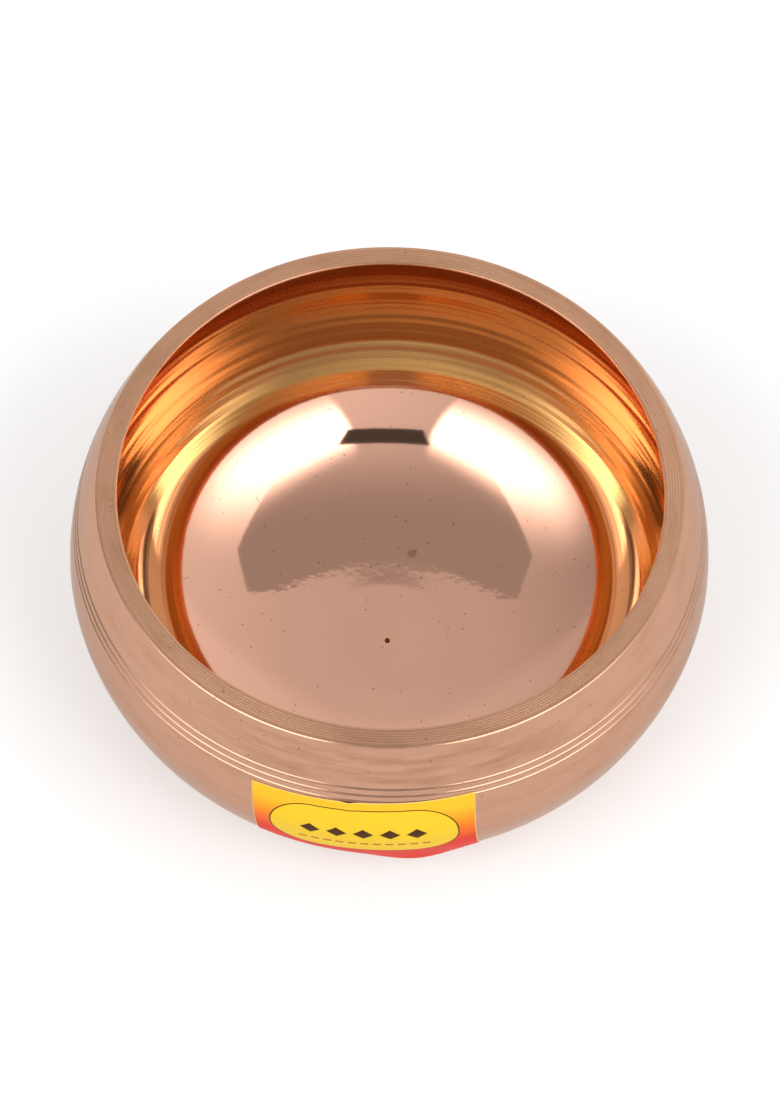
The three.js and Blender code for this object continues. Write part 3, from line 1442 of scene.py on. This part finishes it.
    def world(self) -> None:
        """Makes the surroundings: pale walls, a dimmer ceiling overhead and the soft boxes."""
        world = bpy.data.worlds.new("studio")
        bpy.context.scene.world = world
        world.use_nodes = True
        tree = world.node_tree
        tree.nodes.clear()
        way = add_node(tree, "ShaderNodeTexCoord", output="Generated")
        parts = add_node(tree, "ShaderNodeSeparateXYZ", {0: way}).node.outputs
        up = add_node(tree, MATH, {0: parts["Z"], 1: self.horizon}, operation="MAXIMUM")
        across, along = (
            add_node(tree, MATH, {0: parts[axis], 1: up}, operation="DIVIDE") for axis in ("X", "Y")
        )
        sky = SkyTree(tree, parts, across, along)
        back = layered(self.back_level, (crossed((along, self.low_back)), self.low_back_level))
        walls = layered(self.front_level, (crossed((parts["Y"], self.back_turn)), back))
        inputs = {0: parts["X"], 1: self.side_tilt, 2: walls}
        room = add_node(tree, MATH, inputs, operation="MULTIPLY_ADD")
        ceiling = self.ceiling(sky)
        front = crossed((parts["Y"], self.ceiling_front))
        dim = add_node(tree, MATH, {0: ceiling, 1: front}, operation="MULTIPLY")
        level = layered(
            room,
            (dim, self.ceiling_level),
            (self.boxes(sky, ceiling), self.box_level),
            (self.gap(sky), self.gap_level),
        )
        light = add_node(tree, "ShaderNodeBackground", {"Color": linear("#FFFFFF"), "Strength": level})
        add_node(tree, "ShaderNodeOutputWorld", {"Surface": light})


@dataclass
class PhotoCamera:
    """The camera, at the angle and distance that fit the photographed rims and grooves."""

    elevation: float = math.radians(58.45)
    roll: float = math.radians(1.33)
    distance: float = 1612.0
    target: tuple[float, float, float] = (0.13, 0.0, 39.0)
    focal_pixels: float = 7913.0
    picture_height: float = 1108.0
    sensor: float = 36.0

    def build(self) -> None:
        """Builds the camera and makes it the scene's own."""
        lens = bpy.data.cameras.new("camera")
        lens.sensor_width = self.sensor
        lens.lens = self.focal_pixels * self.sensor / self.picture_height
        made = bpy.data.objects.new("camera", lens)
        bpy.context.scene.collection.objects.link(made)
        forward = Vector((0.0, math.cos(self.elevation), -math.sin(self.elevation)))
        right = Vector((1.0, 0.0, 0.0))
        up = right.cross(forward)
        turned_right = right * math.cos(self.roll) + up * math.sin(self.roll)
        turned_up = up * math.cos(self.roll) - right * math.sin(self.roll)
        place = (Vector(self.target) - forward * self.distance) * MM
        axes = Matrix((turned_right, turned_up, -forward)).transposed()
        made.matrix_world = Matrix.Translation(place) @ axes.to_4x4()
        bpy.context.scene.camera = made


def report(piece: bpy.types.Object) -> None:
    """Logs what a finished piece holds."""
    triangles = sum(len(face.vertices) - 2 for face in piece.data.polygons)
    log.info("%s: %d vertices, %d triangles", piece.name, len(piece.data.vertices), triangles)


def main() -> None:
    """Builds the pieces in order, and the studio round them."""
    logging.basicConfig(level=logging.INFO, format="%(name)s: %(message)s")
    bpy.context.scene.view_settings.view_transform = "Standard"
    PhotoCamera().build()
    Studio().build()
    low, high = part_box("bowl")
    shape = BowlShape(height=(high.z - low.z) / MM, belly_radius=(high.x - low.x) / 2 / MM)
    outline = shape.outline()
    bowl = BowlLathe().turn("turned_bowl", outline, BellMetal().build(shape, outline))
    sticker = PastedLabel(shape)
    label = sticker.build(LabelPrint().build(sticker.width, sticker.height))
    for piece, node, slot in ((bowl, "bowl", "bell_metal"), (label, "label", "label_print")):
        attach(piece, "root")
        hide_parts(node)
        report(piece)


if __name__ == "__main__":
    main()
